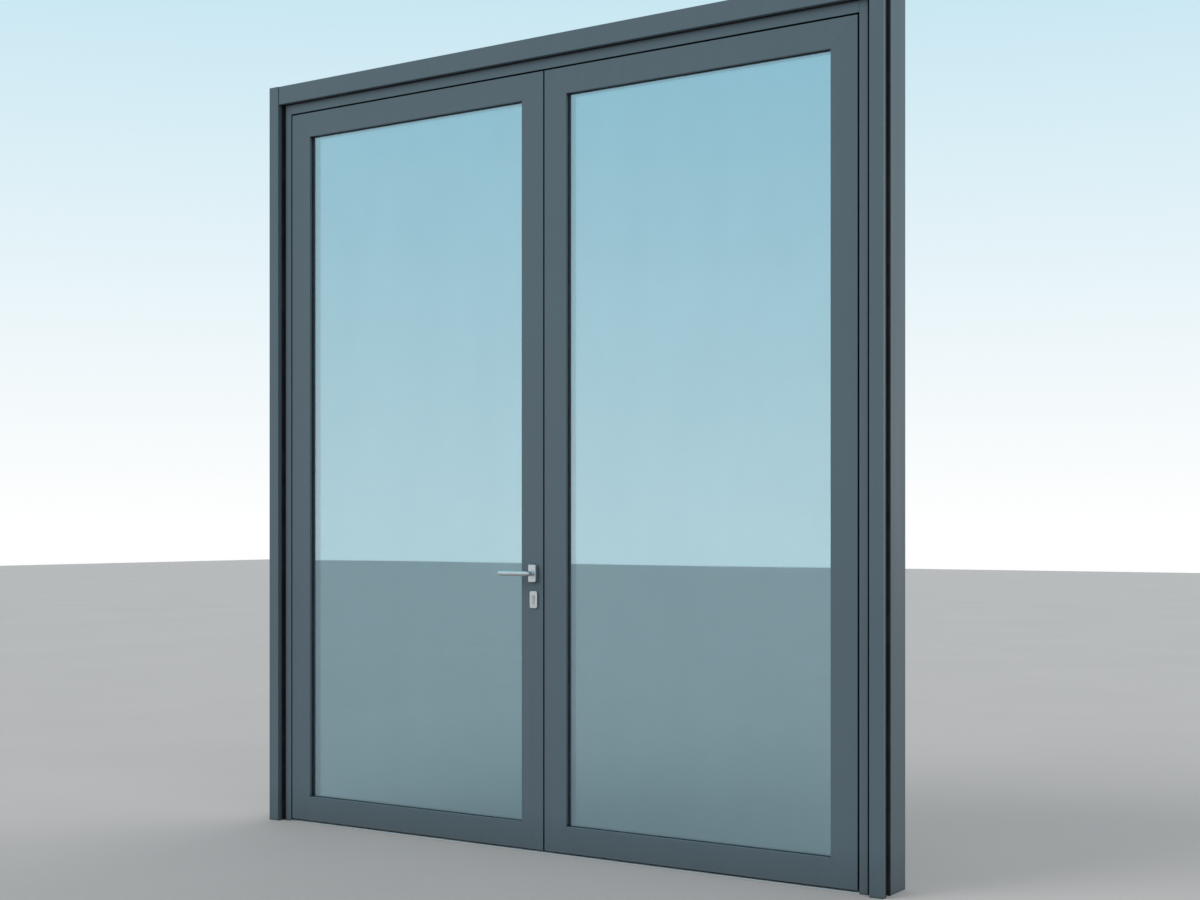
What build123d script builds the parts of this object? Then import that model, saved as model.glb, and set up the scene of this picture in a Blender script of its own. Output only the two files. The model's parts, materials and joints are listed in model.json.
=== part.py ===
"""A tall glass entrance door with two leaves, in its aluminium frame.

Seen from outside, X runs to the right, Y runs inwards and Z up. The origin is on the floor, under the middle
of the threshold. Lengths are in millimetres.
"""

import os

from build123d import *

os.makedirs("parts", exist_ok=True)

# Leaves
leaf_height = 2950.0
leaf_width = 1283.0
gap = 6.0
face_width = 100.0
rebate_height = 22.0
leaf_overlap = 18.0
outer_shell_depth = 22.0
break_depth = 24.0
inner_shell_depth = 24.0
lip_depth = 12.0
wall = 2.0
edge_bevel = 1.0
joint_gap = 0.2

# Strips that join the shells
strip_thickness = 4.0
strip_inset = 8.0

# Glass
glass_gasket = 5.0
pane_thickness = 6.0
pane_cavity = 16.0
glass_edge_gap = 5.0
spacer_height = 12.0
gasket_height = 12.0
gasket_lip = 1.0
block_length = 100.0

# Door frame
jamb_face = 31.0
head_face = 40.0
jamb_inner_face = 26.0
threshold_height = 5.0
threshold_bevel = 3.0
groove_count = 5
groove_width = 2.0
groove_depth = 1.0
groove_pitch = 10.0
stop_start = 2.0
stop_reach = 17.0
stop_depth = 18.0
stop_gasket_height = 9.0
seal_clearance = 0.3

# Facade posts, header and their cover caps
post_width = 50.0
post_depth = 125.0
post_wall = 3.0
end_plate = 10.0
anchor_hole_r = 5.5
anchor_spacing = 80.0
header_height = 75.0
recess_width = 17.0
recess_depth = 16.0
head_recess = 3.0
tongue_reach = 13.0
adapter_depth = 30.0
adapter_setback = 2.0
adapter_wall = 2.5
pocket_front_gasket = 7.0
pocket_back_gasket = 5.0
pocket_gasket_width = 12.0
pocket_gasket_inset = 1.0
channel_width = 8.0
channel_slot = 3.0
channel_slot_depth = 22.0
plate_thickness = 6.0
cap_wall = 2.0
cap_lap = 3.0
post_cap_depth = 20.0
header_cap_depth = 17.0

# Hinges
hinge_count = 3
hinge_end_distance = 250.0
hinge_height = 160.0
ring_gap = 0.3
barrel_r = 10.0
pin_r = 5.95
pin_clearance = 0.05
barrel_standoff = 13.0
hinge_plate = 6.0
hinge_plate_width = 50.0
hinge_swing_clearance = 3.0

# Seals
brush_width = 8.0
brush_holder = 6.0
bristle_width = 5.0
meeting_seal_reach = 2.2
meeting_seal_width = 16.0
meeting_seal_inset = 5.0

# Handle and lock
lever_height = 1059.0
backset = 40.0
lever_r = 9.5
lever_length = 128.0
lever_standoff = 52.0
lever_bend = 14.0
lever_end_bevel = 1.0
neck_clearance = 0.3
spindle_width = 8.0
spindle_grip = 36.0
spindle_clearance = 0.1
spindle_end_gap = 1.0
spindle_window = 14.0
rose_width = 34.0
rose_height = 66.0
rose_thickness = 18.0
rose_corner = 4.0
escutcheon_height = 65.0
escutcheon_thickness = 8.0
escutcheon_drop = 8.0
escutcheon_corner = 7.0
cylinder_distance = 92.0
cylinder_r = 8.5
cylinder_leg = 10.0
cylinder_height = 33.0
cylinder_proud = 1.0
cylinder_clearance = 0.3
plug_r = 6.45
plug_clearance = 0.05
cam_gap = 10.0
cam_thickness = 9.0
cam_length = 13.5
cam_sweep_r = 14.2
cam_width = 7.0
cam_clearance = 1.0
key_slot_width = 1.5
key_slot_height = 8.0
key_slot_depth = 12.0
case_thickness = 15.0
case_depth = 54.0
case_above = 45.0
case_below = 30.0
case_wall = 1.5
face_plate = 3.0
face_plate_length = 245.0
follower_r = 12.0
follower_sides = 8
bolt_thickness = 10.0
bolt_clearance = 0.3
bolt_setback = 0.2
dead_bolt_height = 34.0
dead_bolt_drop = 43.0
dead_bolt_length = 45.0
latch_height = 22.0
latch_rise = 24.0
latch_length = 30.0
latch_bevel = 7.0

# Flush bolts of the right leaf
rod_r = 4.0
rod_clearance = 0.75
rod_inset = 20.0
rod_setback = 1.0
rod_length = 320.0
flush_throw = 20.0
carriage_height = 40.0
carriage_width = 12.0
thumb_height = 14.0
thumb_width = 8.0
flush_plate_length = 160.0

# Levels along Y, from the outside to the inside
front = -(outer_shell_depth + break_depth + inner_shell_depth) / 2
outer_back = front + outer_shell_depth
inner_front = outer_back + break_depth
back = inner_front + inner_shell_depth
middle_y = (outer_back + inner_front) / 2
lip_back = front + lip_depth
glass_front = lip_back + glass_gasket
cavity_front = glass_front + pane_thickness
cavity_back = cavity_front + pane_cavity
glass_back = cavity_back + pane_thickness
bead_front = glass_back + glass_gasket
adapter_front = front + adapter_setback
adapter_back = adapter_front + adapter_depth
post_front = adapter_back + pocket_back_gasket
post_back = post_front + post_depth
plate_back = adapter_front - pocket_front_gasket
plate_front = plate_back - plate_thickness
cap_back = plate_front + cap_lap
post_cap_front = cap_back - post_cap_depth
header_cap_front = cap_back - header_cap_depth

# Levels along X, from the middle to the side
meeting_x = gap / 2
hinge_x = meeting_x + leaf_width
frame_x = hinge_x + gap
inner_frame_x = frame_x + leaf_overlap
jamb_end_x = frame_x + jamb_face
post_x = jamb_end_x + recess_width
side_x = post_x + post_width
post_mid_x = post_x + post_width / 2
rebate_inset = face_width - rebate_height
glass_inset = rebate_inset + glass_edge_gap
leaf_mid_x = (meeting_x + hinge_x) / 2

# Levels along Z
leaf_bottom = threshold_height + gap
leaf_top = leaf_bottom + leaf_height
leaf_mid_z = (leaf_bottom + leaf_top) / 2
head_z = leaf_top + gap
head_end_z = head_z + head_face
header_z = head_end_z + head_recess
top_z = header_z + header_height
header_mid_z = (header_z + top_z) / 2
reach = 2 * (post_back - post_cap_front)

LEFT = -1
RIGHT = 1


def keep(piece, name):
    """Label a finished piece and write it out."""
    piece.part.label = name
    export_step(piece.part, f"parts/{name}.step")


def block(x_range, y_range, z_range, mode=Mode.ADD):
    """A straight block between the given pairs of limits, drawn on the plan and raised."""
    low_x, high_x = sorted(x_range)
    low_y, high_y = sorted(y_range)
    low_z, high_z = sorted(z_range)
    with BuildSketch(Plane.XY.offset(low_z)) as plan:
        with Locations(((low_x + high_x) / 2, (low_y + high_y) / 2)):
            Rectangle(high_x - low_x, high_y - low_y)
    extrude(plan.sketch, amount=high_z - low_z, mode=mode)


def drill_up(x, y, radius, low, height):
    """An upright round hole."""
    with BuildSketch(Plane.XY.offset(low)) as circle:
        with Locations((x, y)):
            Circle(radius)
    extrude(circle.sketch, amount=height, mode=Mode.SUBTRACT)


def chamber(outline, thickness, front_axis=None):
    """A hollow profile: its outline, with the seen corners bevelled, less the outline set in by the wall."""
    Polygon(*outline)
    if front_axis is not None:
        chamfer(vertices().group_by(front_axis)[0], edge_bevel)
    if thickness is not None:
        offset(
            Polygon(*outline, mode=Mode.PRIVATE),
            amount=-thickness,
            kind=Kind.INTERSECTION,
            mode=Mode.SUBTRACT,
        )


def mitre(side, member, near, far, slack=0):
    """Front view of a mitred leaf member, between two distances from the edges of the leaf.

    The slack is the open joint that is left at both ends of a rail.
    """
    shorter = slack if member in ("top", "bottom") else 0
    m_near = side * (meeting_x + near + shorter)
    m_far = side * (meeting_x + far + shorter)
    h_near = side * (hinge_x - near - shorter)
    h_far = side * (hinge_x - far - shorter)
    low_near = leaf_bottom + near
    low_far = leaf_bottom + far
    high_near = leaf_top - near
    high_far = leaf_top - far
    outlines = {
        "hinge": [(h_near, low_near), (h_near, high_near), (h_far, high_far), (h_far, low_far)],
        "meeting": [(m_near, low_near), (m_near, high_near), (m_far, high_far), (m_far, low_far)],
        "top": [(m_near, high_near), (h_near, high_near), (h_far, high_far), (m_far, high_far)],
        "bottom": [(m_near, low_near), (h_near, low_near), (h_far, low_far), (m_far, low_far)],
    }
    return outlines[member]


def overlapping_mitre(side, member):
    """Front view of the hinge stile or top rail, whose inner shell laps over the door frame."""
    lap_x = side * (hinge_x + leaf_overlap)
    lap_z = leaf_top + leaf_overlap
    near_x = side * (hinge_x - face_width)
    if member == "hinge":
        return [
            (lap_x, leaf_bottom),
            (lap_x, lap_z),
            (near_x, leaf_top - face_width),
            (near_x, leaf_bottom + face_width),
            (side * hinge_x, leaf_bottom),
        ]
    return [
        (side * meeting_x, leaf_top),
        (side * meeting_x, lap_z),
        (lap_x, lap_z),
        (near_x, leaf_top - face_width),
        (side * (meeting_x + face_width), leaf_top - face_width),
    ]


def placed(side, member, section):
    """Turn (distance from the leaf's edge, Y) into the points of the member's section plane."""
    if member == "hinge":
        return [(side * (hinge_x - u), y) for u, y in section]
    if member == "meeting":
        return [(side * (meeting_x + u), y) for u, y in section]
    if member == "top":
        return [(y, leaf_top - u) for u, y in section]
    return [(y, leaf_bottom + u) for u, y in section]


def rectangle_section(near, far, low_y, high_y):
    """The four corners of a section between two distances from the edge and two levels of Y."""
    return [(near, low_y), (far, low_y), (far, high_y), (near, high_y)]


def extruded_member(side, member, section, thickness, bevelled):
    """Extrude one profile along its stile or rail, a little longer than the leaf."""
    upright = member in ("hinge", "meeting")
    low_x = min(side * meeting_x, side * (hinge_x + leaf_overlap))
    plane = Plane.XY.offset(leaf_bottom) if upright else Plane.YZ.offset(low_x)
    length = leaf_height + leaf_overlap if upright else leaf_width + leaf_overlap
    front_axis = (Axis.Y if upright else Axis.X) if bevelled else None
    with BuildSketch(plane) as profile:
        chamber(placed(side, member, section), thickness, front_axis)
    extrude(profile.sketch, amount=length)


def trim_to(outline, mode=Mode.INTERSECT):
    """Keep what lies inside an outline of the front view."""
    with BuildSketch(Plane.XZ) as view:
        Polygon(*outline)
    extrude(view.sketch, amount=reach, both=True, mode=mode)


outer_section = [
    (0, front),
    (face_width, front),
    (face_width, lip_back),
    (rebate_inset, lip_back),
    (rebate_inset, outer_back),
    (0, outer_back),
]

# The inside of a lock sits between the shells of the left leaf's meeting stile.
lock_x = -(meeting_x + backset)
cylinder_z = lever_height - cylinder_distance
case_top = lever_height + case_above
case_bottom = cylinder_z - case_below
plate_mid_z = (case_top + case_bottom) / 2
case_front_y = middle_y - case_thickness / 2
case_back_y = middle_y + case_thickness / 2
dead_bolt_z = lever_height - dead_bolt_drop
latch_z = lever_height + latch_rise
rod_x = meeting_x + rod_inset


def cut_rod_window(low, high):
    """A window for the flush bolt's rod."""
    half = rod_r + rod_clearance
    block((rod_x - half, rod_x + half), (middle_y - half, middle_y + half), (low, high), mode=Mode.SUBTRACT)


def cylinder_outline(grow):
    """Front view of the lock cylinder: a round barrel over a narrow leg with a round foot."""
    foot_r = cylinder_leg / 2 + grow
    foot_z = cylinder_z + cylinder_r - cylinder_height + cylinder_leg / 2
    with Locations((lock_x, cylinder_z)):
        Circle(cylinder_r + grow)
    with Locations((lock_x, (cylinder_z + foot_z) / 2)):
        Rectangle(2 * foot_r, cylinder_z - foot_z)
    with Locations((lock_x, foot_z)):
        Circle(foot_r)


def cylinder_window(grow):
    """Front view of the milled window that the lock cylinder passes through."""
    height = cylinder_height + 2 * grow
    with Locations((lock_x, cylinder_z + cylinder_r + grow - height / 2)):
        Rectangle(2 * (cylinder_r + grow), height)


def cut_handle_holes():
    """Windows for the spindle and the lock cylinder, right through the stile."""
    with BuildSketch(Plane.XZ) as holes:
        with Locations((lock_x, lever_height)):
            Rectangle(spindle_window, spindle_window)
        cylinder_window(2 * cylinder_clearance)
    extrude(holes.sketch, amount=reach, both=True, mode=Mode.SUBTRACT)


def make_stile_or_rail(side, member, name):
    """An outer and an inner hollow shell, mitred at the corners of the leaf."""
    lap = leaf_overlap if member in ("hinge", "top") else 0
    inner_section = rectangle_section(-lap, rebate_inset, inner_front, back)
    with BuildPart() as shells:
        extruded_member(side, member, outer_section, wall, True)
        extruded_member(side, member, inner_section, wall, False)
        trim_to(overlapping_mitre(side, member) if lap else mitre(side, member, 0, face_width))
        if side == LEFT and member == "meeting":
            cut_handle_holes()
    keep(shells, name)


def cut_edge_hardware(side):
    """Room in the strips for what is let into the meeting edges."""
    strip_x = (side * meeting_x, side * (meeting_x + 2 * strip_inset))
    strip_y = (outer_back, inner_front)
    block(strip_x, strip_y, (case_bottom - gap, case_top + gap), mode=Mode.SUBTRACT)
    if side == RIGHT:
        for low, high in (top_plate_range, bottom_plate_range):
            block(strip_x, strip_y, (low + edge_tab, high - edge_tab), mode=Mode.SUBTRACT)
        cut_rod_window(0, top_z)


def make_thermal_breaks(side, name):
    """Two plastic strips along each member, which join its outer shell to its inner one."""
    insets = (strip_inset, rebate_inset - strip_thickness)
    with BuildPart() as strips:
        for member in ("hinge", "meeting", "top", "bottom"):
            for inset in insets:
                with BuildSketch(Plane.XZ.offset(-inner_front)):
                    Polygon(*mitre(side, member, inset, inset + strip_thickness, joint_gap))
                extrude(amount=break_depth)
        cut_edge_hardware(side)
    keep(strips, name)


def slab(side, inset, low_y, high_y):
    """A rectangular sheet set in from the edges of the leaf."""
    with BuildSketch(Plane.XZ.offset(-high_y)) as sheet:
        with Locations((side * leaf_mid_x, leaf_mid_z)):
            Rectangle(leaf_width - 2 * inset, leaf_height - 2 * inset)
    extrude(sheet.sketch, amount=high_y - low_y)


def band(side, outer_inset, inner_inset, low_y, high_y):
    """A closed rectangular band between two distances from the edges of the leaf."""
    with BuildSketch(Plane.XZ.offset(-high_y)) as ring:
        with Locations((side * leaf_mid_x, leaf_mid_z)):
            Rectangle(leaf_width - 2 * outer_inset, leaf_height - 2 * outer_inset)
            Rectangle(leaf_width - 2 * inner_inset, leaf_height - 2 * inner_inset, mode=Mode.SUBTRACT)
    extrude(ring.sketch, amount=high_y - low_y)


def make_glazing(side, word):
    """Two panes with their spacer, the gaskets, the beads and the blocks that the glass stands on."""
    with BuildPart() as outer_pane:
        slab(side, glass_inset, glass_front, cavity_front)
    keep(outer_pane, f"{word}_outer_pane")

    with BuildPart() as inner_pane:
        slab(side, glass_inset, cavity_back, glass_back)
    keep(inner_pane, f"{word}_inner_pane")

    with BuildPart() as spacer:
        band(side, glass_inset, glass_inset + spacer_height, cavity_front, cavity_back)
    keep(spacer, f"{word}_spacer")

    gasket_end = face_width + gasket_lip
    with BuildPart() as gaskets:
        band(side, gasket_end - gasket_height, gasket_end, lip_back, glass_front)
        band(side, gasket_end - gasket_height, gasket_end, glass_back, bead_front)
    keep(gaskets, f"{word}_glazing_gaskets")

    bead_section = rectangle_section(rebate_inset, face_width, bead_front, back)
    for member in ("hinge", "meeting", "top", "bottom"):
        with BuildPart() as bead:
            extruded_member(side, member, bead_section, wall, False)
            trim_to(mitre(side, member, rebate_inset, face_width, joint_gap))
        beads[side].append(bead.part)

    quarter = leaf_width / 4
    with BuildPart() as blocks:
        for offset_x in (-quarter, quarter):
            mid = side * leaf_mid_x + offset_x
            block(
                (mid - block_length / 2, mid + block_length / 2),
                (glass_front, glass_back),
                (leaf_bottom + rebate_inset, leaf_bottom + glass_inset),
            )
    keep(blocks, f"{word}_setting_blocks")


def make_seals(side, word):
    """The brush under the leaf and the rubber strip down its meeting edge."""
    brush_top = leaf_bottom + strip_inset
    brush_x = (side * (meeting_x + gasket_lip), side * (hinge_x - gasket_lip))
    with BuildPart() as brush:
        block(
            brush_x,
            (middle_y - brush_width / 2, middle_y + brush_width / 2),
            (brush_top - brush_holder, brush_top),
        )
        block(
            brush_x,
            (middle_y - bristle_width / 2, middle_y + bristle_width / 2),
            (threshold_height + seal_clearance, brush_top - brush_holder),
        )
        if side == RIGHT:
            cut_rod_window(0, brush_top)
    keep(brush, f"{word}_bottom_brush")

    seal_back = back - meeting_seal_inset
    with BuildPart() as seal:
        block(
            (side * meeting_x, side * (meeting_x - meeting_seal_reach)),
            (seal_back - meeting_seal_width, seal_back),
            (leaf_bottom, leaf_top),
        )
    keep(seal, f"{word}_meeting_gasket")


# Where the flush bolts' plates sit on the edge of the right leaf
edge_tab = 15.0
carriage_top = leaf_top - rod_setback - rod_length + carriage_height
thumb_top_z = carriage_top - carriage_height / 2
thumb_bottom_z = leaf_bottom + leaf_top - thumb_top_z
bottom_throw = leaf_bottom + rod_setback - rod_clearance
top_plate_mid = thumb_top_z + flush_throw / 2
bottom_plate_mid = thumb_bottom_z - flush_throw / 2
top_plate_range = (top_plate_mid - flush_plate_length / 2, top_plate_mid + flush_plate_length / 2)
bottom_plate_range = (bottom_plate_mid - flush_plate_length / 2, bottom_plate_mid + flush_plate_length / 2)

beads = {LEFT: [], RIGHT: []}

for side, word in ((LEFT, "left"), (RIGHT, "right")):
    make_stile_or_rail(side, "hinge", f"{word}_hinge_stile")
    make_stile_or_rail(side, "meeting", f"{word}_meeting_stile")
    make_stile_or_rail(side, "top", f"{word}_top_rail")
    make_stile_or_rail(side, "bottom", f"{word}_bottom_rail")
    make_thermal_breaks(side, f"{word}_thermal_breaks")
    make_glazing(side, word)
    make_seals(side, word)
    with BuildPart() as glazing_beads:
        add(beads[side])
    keep(glazing_beads, f"{word}_glazing_beads")


# Door frame
def upright(side, section, thickness, low, high, bevelled=False):
    """A straight frame profile standing beside the leaf, given as (distance from the frame's edge, Y)."""
    with BuildSketch(Plane.XY.offset(low)) as profile:
        chamber([(side * (frame_x + v), y) for v, y in section], thickness, Axis.Y if bevelled else None)
    extrude(profile.sketch, amount=high - low)


def crosspiece(section, thickness, half_length, bevelled=False):
    """A straight frame profile lying over the leaves."""
    with BuildSketch(Plane.YZ.offset(-half_length)) as profile:
        chamber([(y, head_z + v) for v, y in section], thickness, Axis.X if bevelled else None)
    extrude(profile.sketch, amount=2 * half_length)


def stop_section():
    """The strip behind the outer shell, with the foot that the stop gasket sits on."""
    heel = stop_start + stop_reach
    return [
        (stop_start, outer_back),
        (stop_start, outer_back + stop_depth),
        (heel, outer_back + stop_depth),
        (heel, inner_front),
        (heel + strip_thickness, inner_front),
        (heel + strip_thickness, outer_back),
    ]


def rear_strip_section(outer_face):
    """The plain strip at the wall side of the frame."""
    return rectangle_section(outer_face - strip_thickness, outer_face, outer_back, inner_front)


def stop_gasket_section():
    """The rubber strip between the frame's stop and the leaf's lap."""
    return rectangle_section(
        stop_start,
        stop_start + stop_gasket_height,
        outer_back + stop_depth,
        inner_front - seal_clearance,
    )


for side, word in ((LEFT, "left"), (RIGHT, "right")):
    with BuildPart() as jamb:
        upright(side, rectangle_section(0, jamb_face, front, outer_back), wall, 0, head_end_z, True)
        upright(
            side,
            rectangle_section(leaf_overlap, leaf_overlap + jamb_inner_face, inner_front, back),
            wall,
            0,
            head_end_z,
        )
    keep(jamb, f"jamb_{word}")

with BuildPart() as head_rail:
    crosspiece(rectangle_section(0, head_face, front, outer_back), wall, frame_x, True)
    crosspiece(rectangle_section(leaf_overlap, head_face, inner_front, back), wall, inner_frame_x)
keep(head_rail, "head_rail")

with BuildPart() as frame_thermal_breaks:
    for side in (LEFT, RIGHT):
        upright(side, stop_section(), None, 0, head_end_z)
        upright(side, rear_strip_section(jamb_face), None, 0, head_end_z)
    crosspiece(stop_section(), None, frame_x + stop_start - joint_gap)
    crosspiece(rear_strip_section(head_face), None, frame_x + stop_start - joint_gap)
    cut_rod_window(head_z, head_end_z)
keep(frame_thermal_breaks, "frame_thermal_breaks")

with BuildPart() as stop_gaskets:
    for side in (LEFT, RIGHT):
        upright(side, stop_gasket_section(), None, threshold_height, head_z + stop_start + stop_gasket_height)
    crosspiece(stop_gasket_section(), None, frame_x + stop_start)
keep(stop_gaskets, "stop_gaskets")

with BuildPart() as threshold:
    with BuildSketch(Plane.YZ.offset(-frame_x)):
        with BuildLine():
            Polyline(
                (front, 0),
                (front, threshold_height - threshold_bevel),
                (front + threshold_bevel, threshold_height),
                (back - threshold_bevel, threshold_height),
                (back, threshold_height - threshold_bevel),
                (back, 0),
                close=True,
            )
        make_face()
        with Locations((middle_y - groove_pitch, threshold_height)):
            with GridLocations(groove_pitch, 1, groove_count, 1):
                Rectangle(groove_width, 2 * groove_depth, mode=Mode.SUBTRACT)
    extrude(amount=2 * frame_x)
    for side in (LEFT, RIGHT):
        block(
            (side * frame_x, side * inner_frame_x),
            (inner_front, back),
            (0, threshold_height - groove_depth),
        )
    drill_up(rod_x, middle_y, rod_r + rod_clearance, 0, threshold_height)
keep(threshold, "threshold")


# Facade posts, header and their cover caps
def post_outline(middle, width, point):
    """A tube with a screw channel in front of it, as points given by a function of (across, Y)."""
    half = width / 2
    channel = channel_width / 2
    outline = [
        (-half, post_front),
        (-channel, post_front),
        (-channel, plate_back),
        (channel, plate_back),
        (channel, post_front),
        (half, post_front),
        (half, post_back),
        (-half, post_back),
    ]
    Polygon(*[point(middle + across, y) for across, y in outline])
    hollow = half - post_wall
    inside = [
        (-hollow, post_front + post_wall),
        (hollow, post_front + post_wall),
        (hollow, post_back - post_wall),
        (-hollow, post_back - post_wall),
    ]
    Polygon(*[point(middle + across, y) for across, y in inside], mode=Mode.SUBTRACT)
    slot = channel_slot / 2
    groove = [
        (-slot, plate_back),
        (slot, plate_back),
        (slot, plate_back + channel_slot_depth),
        (-slot, plate_back + channel_slot_depth),
    ]
    Polygon(*[point(middle + across, y) for across, y in groove], mode=Mode.SUBTRACT)


def cap_outline(middle, width, cap_front, point):
    """The snap-on cap, a channel that is open towards the wall."""
    half = width / 2
    inner = half - cap_wall
    outline = [
        (-half, cap_front),
        (half, cap_front),
        (half, cap_back),
        (inner, cap_back),
        (inner, cap_front + cap_wall),
        (-inner, cap_front + cap_wall),
        (-inner, cap_back),
        (-half, cap_back),
    ]
    Polygon(*[point(middle + across, y) for across, y in outline])


def plan_point(across, y):
    """A point of the plan."""
    return (across, y)


def side_point(across, y):
    """A point of the cross section that is seen along X."""
    return (y, across)


for side, word in ((LEFT, "left"), (RIGHT, "right")):
    with BuildPart() as post:
        with BuildSketch(Plane.XY):
            post_outline(side * post_mid_x, post_width, plan_point)
        extrude(amount=top_z)
        for low in (0, top_z - end_plate):
            block((side * post_x, side * side_x), (post_front, post_back), (low, low + end_plate))
        with BuildSketch(Plane.XY):
            with Locations((side * post_mid_x, (post_front + post_back) / 2)):
                with GridLocations(1, anchor_spacing, 1, 2):
                    Circle(anchor_hole_r)
        extrude(amount=top_z, mode=Mode.SUBTRACT)
    keep(post, f"post_{word}")

with BuildPart() as header_beam:
    with BuildSketch(Plane.YZ.offset(-post_x)):
        post_outline(header_mid_z, header_height, side_point)
    extrude(amount=2 * post_x)
keep(header_beam, "header_beam")

with BuildPart() as pressure_plates:
    for side in (LEFT, RIGHT):
        block(
            (side * (post_x + cap_wall), side * (side_x - cap_wall)),
            (plate_front, plate_back),
            (0, top_z),
        )
    block((-post_x, post_x), (plate_front, plate_back), (header_z + cap_wall, top_z - cap_wall))
keep(pressure_plates, "pressure_plates")

with BuildPart() as post_caps:
    for side in (LEFT, RIGHT):
        with BuildSketch(Plane.XY):
            cap_outline(side * post_mid_x, post_width, post_cap_front, plan_point)
            chamfer(vertices().group_by(Axis.Y)[0], edge_bevel)
        extrude(amount=top_z)
keep(post_caps, "post_caps")

with BuildPart() as header_cap:
    with BuildSketch(Plane.YZ.offset(-post_x)):
        cap_outline(header_mid_z, header_height, header_cap_front, side_point)
        chamfer(vertices().group_by(Axis.X)[0], edge_bevel)
    extrude(amount=2 * post_x)
keep(header_cap, "header_cap")

recess_floor = front + recess_depth
adapter_section = [
    (0, recess_floor),
    (recess_width, recess_floor),
    (recess_width, adapter_front),
    (recess_width + tongue_reach, adapter_front),
    (recess_width + tongue_reach, adapter_back),
    (0, adapter_back),
]
with BuildPart() as frame_adapters:
    for side in (LEFT, RIGHT):
        with BuildSketch(Plane.XY):
            chamber([(side * (jamb_end_x + v), y) for v, y in adapter_section], adapter_wall)
        extrude(amount=header_z + tongue_reach)
    head_adapter_x = jamb_end_x - joint_gap
    with BuildSketch(Plane.YZ.offset(-head_adapter_x)):
        chamber(
            [
                (adapter_front, head_end_z),
                (adapter_back, head_end_z),
                (adapter_back, header_z + tongue_reach),
                (adapter_front, header_z + tongue_reach),
            ],
            adapter_wall,
        )
    extrude(amount=2 * head_adapter_x)
keep(frame_adapters, "frame_adapters")

with BuildPart() as pocket_gaskets:
    gasket_levels = ((plate_back, adapter_front), (adapter_back, post_front))
    for level in gasket_levels:
        for side in (LEFT, RIGHT):
            near = post_x + pocket_gasket_inset
            far = side_x - pocket_gasket_inset
            block((side * near, side * (near + pocket_gasket_width)), level, (0, top_z))
            block((side * far, side * (far - pocket_gasket_width)), level, (0, top_z))
        low = header_z + pocket_gasket_inset
        high = top_z - pocket_gasket_inset
        block((-post_x, post_x), level, (low, low + pocket_gasket_width))
        block((-post_x, post_x), level, (high - pocket_gasket_width, high))
keep(pocket_gaskets, "pocket_gaskets")

# Hinges
barrel_x = hinge_x + leaf_overlap + gap / 2
barrel_y = back + barrel_standoff
hinge_span = leaf_height - 2 * hinge_end_distance
hinge_levels = [
    leaf_bottom + hinge_end_distance + hinge_span * index / (hinge_count - 1) for index in range(hinge_count)
]
ring_height = (hinge_height - ring_gap) / 2
clear_r = barrel_r + hinge_swing_clearance


def barrel_ring(side, low):
    """One of the two rings of a hinge barrel, with the hole for the pin."""
    with BuildSketch(Plane.XY.offset(low)) as ring:
        with Locations((side * barrel_x, barrel_y)):
            Circle(barrel_r)
    extrude(ring.sketch, amount=ring_height)
    drill_up(side * barrel_x, barrel_y, pin_r + pin_clearance, low, ring_height)


def leaf_half(side, level):
    """The moving half of a hinge: a plate on the leaf and the upper ring, which lifts off the pin."""
    plate_end = barrel_x - clear_r
    block(
        (side * (plate_end - hinge_plate_width), side * plate_end),
        (back, back + hinge_plate),
        (level - hinge_height / 2, level + hinge_height / 2),
    )
    low = level + ring_gap / 2
    block((side * plate_end, side * barrel_x), (back, back + hinge_plate), (low, low + ring_height))
    barrel_ring(side, low)


def frame_half(side, level):
    """The still half of a hinge: a plate on the jamb and the lower ring."""
    low = level - hinge_height / 2
    plate_start = barrel_x + clear_r - gap / 2
    block(
        (side * plate_start, side * (inner_frame_x + jamb_inner_face)),
        (back, back + hinge_plate),
        (low, low + hinge_height),
    )
    block((side * barrel_x, side * plate_start), (back, back + hinge_plate), (low, low + ring_height))
    barrel_ring(side, low)


for side, word in ((LEFT, "left"), (RIGHT, "right")):
    with BuildPart() as hinge_leaf_parts:
        for level in hinge_levels:
            leaf_half(side, level)
    keep(hinge_leaf_parts, f"{word}_hinge_leaf_parts")

with BuildPart() as hinge_frame_parts:
    for side in (LEFT, RIGHT):
        for level in hinge_levels:
            frame_half(side, level)
keep(hinge_frame_parts, "hinge_frame_parts")

with BuildPart() as hinge_pins:
    for side in (LEFT, RIGHT):
        for level in hinge_levels:
            with BuildSketch(Plane.XY.offset(level - hinge_height / 2)):
                with Locations((side * barrel_x, barrel_y)):
                    Circle(pin_r)
            extrude(amount=hinge_height)
keep(hinge_pins, "hinge_pins")


# Handle
spindle_hole = spindle_width + 2 * spindle_clearance


def front_plane(y):
    """A plane that faces outwards, at a level of Y."""
    return Plane.XZ.offset(-y)


def lever(direction):
    """A round lever: out of the rose, round a short bend, then away over the glass."""
    face_y = front if direction < 0 else back
    start = face_y + direction * neck_clearance
    bar_y = face_y + direction * lever_standoff
    with BuildLine() as path:
        Polyline(
            (lock_x, start, lever_height),
            (lock_x, bar_y - direction * lever_bend, lever_height),
            (lock_x - lever_bend, bar_y, lever_height),
            (lock_x - lever_length, bar_y, lever_height),
        )
    with BuildSketch(Plane(origin=(lock_x, start, lever_height), z_dir=(0, direction, 0))) as ring:
        Circle(lever_r)
    sweep(ring.sketch, path=path.line, transition=Transition.RIGHT)
    chamfer(faces().sort_by(Axis.X)[0].edges(), lever_end_bevel)
    socket = spindle_hole / 2
    block(
        (lock_x - socket, lock_x + socket),
        (start, face_y + direction * spindle_grip),
        (lever_height - socket, lever_height + socket),
        mode=Mode.SUBTRACT,
    )


with BuildPart() as lever_outside:
    lever(-1)
keep(lever_outside, "lever_outside")

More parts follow.
